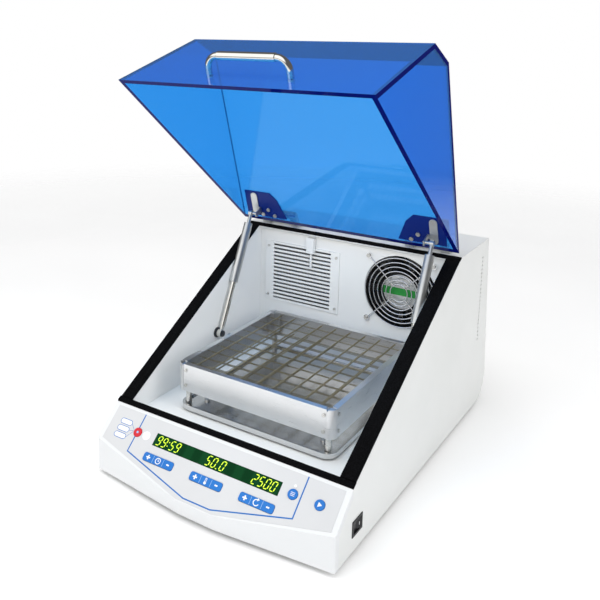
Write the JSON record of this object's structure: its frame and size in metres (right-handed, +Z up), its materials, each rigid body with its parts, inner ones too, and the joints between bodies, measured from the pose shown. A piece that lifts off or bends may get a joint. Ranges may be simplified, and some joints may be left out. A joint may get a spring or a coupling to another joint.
{
  "type": "orbital shaking incubator",
  "caption": "Bench-top shaking incubator: white cabinet, hinged blue hood on gas struts, orbiting platform with a spring-wire rack, wall fan and sloping key panel.",
  "frame": {"origin": "on the bench, under the middle of the cabinet's width and of the machine's overall depth", "axes": "+X to the machine's right seen from the front, +Y to its back, +Z up"},
  "size_m": [0.3722, 0.594, 0.6081],
  "materials": {
    "cabinet_paint": "satin white powder coat",
    "liner_paint": "smooth white enamel",
    "white_moulding": "glossy white moulding",
    "overlay_film": "matt pale grey printed film",
    "display_lens": "dark green tinted lens",
    "blue_key": "smooth blue key cap",
    "red_key": "smooth red key cap",
    "black_plastic": "fine-textured black plastic",
    "black_rubber": "soft black rubber",
    "circuit_board": "green solder mask",
    "blue_acrylic": "blue tinted cast acrylic with polished edges",
    "navy_plastic": "dark blue plastic plate",
    "chrome": "polished chrome plate",
    "chrome_wire": "chromed wire",
    "silver_paint": "silver satin enamel",
    "bright_steel": "zinc-bright steel",
    "dark_steel": "dark oxide",
    "polished_steel": "mirror-polished stainless",
    "satin_aluminium": "satin anodised aluminium",
    "bare_aluminium": "plain aluminium",
    "spring_wire": "khaki passivated spring wire",
    "black_enamel": "black enamel",
    "cast_iron_grey": "grey cast metal"
  },
  "bodies": {
    "base": {"cabinet_shell": "cabinet_paint", "base_pan": "cabinet_paint", "feet": "black_rubber", "back_panel": "cabinet_paint", "power_inlet": "black_plastic", "chamber_liner": "liner_paint", "mouth_seal": "black_rubber", "front_bezel": "white_moulding", "panel_overlay": "overlay_film", "display_window": "display_lens", "control_board": "circuit_board", "rocker_frame": "black_plastic", "vent_grille": "liner_paint", "wall_screws": "bright_steel", "temperature_sensor": "white_moulding", "fan_frame": "black_plastic", "fan_guard": "chrome_wire", "evaporator": "bare_aluminium", "compressor": "black_enamel", "condenser": "bare_aluminium", "rear_fan_frame": "black_plastic", "bearing_housings": "cast_iron_grey", "drive_motor": "black_enamel", "drive_belt": "black_rubber", "hinge_brackets": "bright_steel", "hinge_pins": "bright_steel", "strut_wall_studs": "dark_steel"},
    "hood": {"hood_front_sheet": "blue_acrylic", "hood_top_sheet": "blue_acrylic", "hood_side_sheets": "blue_acrylic", "hood_handle": "chrome", "hinge_backing_plates": "navy_plastic", "hinge_lid_leaves": "bright_steel", "hood_screws": "bright_steel", "strut_lid_mounts": "chrome"},
    "strut_rod_left_body": {"strut_rod_left": "chrome"},
    "strut_cylinder_left_body": {"strut_cylinder_left": "silver_paint"},
    "strut_rod_right_body": {"strut_rod_right": "chrome"},
    "strut_cylinder_right_body": {"strut_cylinder_right": "silver_paint"},
    "crank": {"drive_crank": "bright_steel", "driven_pulley": "bare_aluminium"},
    "idler_left": {"idler_crank_left": "bright_steel"},
    "idler_right": {"idler_crank_right": "bright_steel"},
    "platform": {"orbit_carrier": "bare_aluminium", "platform_plate": "polished_steel", "rack_plates": "satin_aluminium", "rack_posts": "satin_aluminium", "rack_and_platform_screws": "bright_steel", "rack_standoffs": "bright_steel", "rack_springs": "spring_wire"},
    "motor_shaft": {"motor_pulley": "bright_steel"},
    "chamber_fan": {"fan_rotor": "black_plastic"},
    "rear_fan": {"rear_fan_rotor": "black_plastic"},
    "rocker": {"power_rocker": "black_plastic"},
    "time_bar": {"time_key": "blue_key"},
    "temperature_bar": {"temperature_key": "blue_key"},
    "speed_bar": {"speed_key": "blue_key"},
    "light_cap": {"light_button": "red_key"},
    "menu_cap": {"menu_button": "blue_key"},
    "start_cap": {"start_button": "blue_key"}
  },
  "joints": [
    {"name": "hood_swing", "type": "hinge", "parent": "base", "child": "hood", "pos_m": [0, 0.129, 0.312], "axis": [1, 0, 0], "range_deg": [0, 66.8]},
    {"name": "strut_left_swing", "type": "hinge", "parent": "base", "child": "strut_rod_left_body", "pos_m": [-0.1553, -0.006, 0.13], "axis": [1, 0, 0], "range_deg": [-14, 1]},
    {"name": "strut_left_slide", "type": "slide", "parent": "strut_rod_left_body", "child": "strut_cylinder_left_body", "axis": [0, 0.4311, 0.9023], "range_m": [-0.027, 0.001]},
    {"name": "strut_right_swing", "type": "hinge", "parent": "base", "child": "strut_rod_right_body", "pos_m": [0.1553, -0.006, 0.13], "axis": [1, 0, 0], "range_deg": [-14, 1]},
    {"name": "strut_right_slide", "type": "slide", "parent": "strut_rod_right_body", "child": "strut_cylinder_right_body", "axis": [0, 0.4311, 0.9023], "range_m": [-0.027, 0.001]},
    {"name": "crank_spin", "type": "hinge", "parent": "base", "child": "crank", "pos_m": [0, -0.095, 0.04], "axis": [0, 0, 1], "continuous": true},
    {"name": "platform_orbit", "type": "hinge", "parent": "crank", "child": "platform", "pos_m": [0.005, -0.095, 0.056], "axis": [0, 0, 1], "continuous": true},
    {"name": "idler_left_spin", "type": "hinge", "parent": "base", "child": "idler_left", "pos_m": [-0.075, 0.025, 0.04], "axis": [0, 0, 1], "continuous": true},
    {"name": "idler_right_spin", "type": "hinge", "parent": "base", "child": "idler_right", "pos_m": [0.075, 0.025, 0.04], "axis": [0, 0, 1], "continuous": true},
    {"name": "motor_spin", "type": "hinge", "parent": "base", "child": "motor_shaft", "pos_m": [-0.115, -0.095, 0.03], "axis": [0, 0, 1], "continuous": true},
    {"name": "chamber_fan_spin", "type": "hinge", "parent": "base", "child": "chamber_fan", "pos_m": [0.092, 0.14, 0.214], "axis": [0, -1, 0], "continuous": true},
    {"name": "rear_fan_spin", "type": "hinge", "parent": "base", "child": "rear_fan", "pos_m": [0.075, 0.25, 0.16], "axis": [0, 1, 0], "continuous": true},
    {"name": "power_rock", "type": "hinge", "parent": "base", "child": "rocker", "pos_m": [0.177, -0.2125, 0.037], "axis": [0, 0, 1], "range_deg": [0, 12]},
    {"name": "time_rock", "type": "hinge", "parent": "base", "child": "time_bar", "pos_m": [-0.076, -0.26805, 0.05158], "axis": [0, 0.7568, 0.6536], "range_deg": [-1.5, 1.5]},
    {"name": "temperature_rock", "type": "hinge", "parent": "base", "child": "temperature_bar", "pos_m": [0.002, -0.26805, 0.05158], "axis": [0, 0.7568, 0.6536], "range_deg": [-1.5, 1.5]},
    {"name": "speed_rock", "type": "hinge", "parent": "base", "child": "speed_bar", "pos_m": [0.078, -0.26805, 0.05158], "axis": [0, 0.7568, 0.6536], "range_deg": [-1.5, 1.5]},
    {"name": "light_press", "type": "slide", "parent": "base", "child": "light_cap", "axis": [0, 0.6536, -0.7568], "range_m": [0, 0.0008]},
    {"name": "menu_press", "type": "slide", "parent": "base", "child": "menu_cap", "axis": [0, 0.6536, -0.7568], "range_m": [0, 0.0008]},
    {"name": "start_press", "type": "slide", "parent": "base", "child": "start_cap", "axis": [0, 0.6536, -0.7568], "range_m": [0, 0.0008]}
  ],
  "couplings": [
    {"joint": "strut_left_swing", "follows": "hood_swing", "ratio": -0.19671},
    {"joint": "strut_left_slide", "follows": "hood_swing", "m_per_rad": -0.021695},
    {"joint": "strut_right_swing", "follows": "hood_swing", "ratio": -0.19671},
    {"joint": "strut_right_slide", "follows": "hood_swing", "m_per_rad": -0.021695},
    {"joint": "platform_orbit", "follows": "crank_spin", "ratio": -1},
    {"joint": "idler_left_spin", "follows": "crank_spin", "ratio": 1},
    {"joint": "idler_right_spin", "follows": "crank_spin", "ratio": 1},
    {"joint": "motor_spin", "follows": "crank_spin", "ratio": 3}
  ]
}
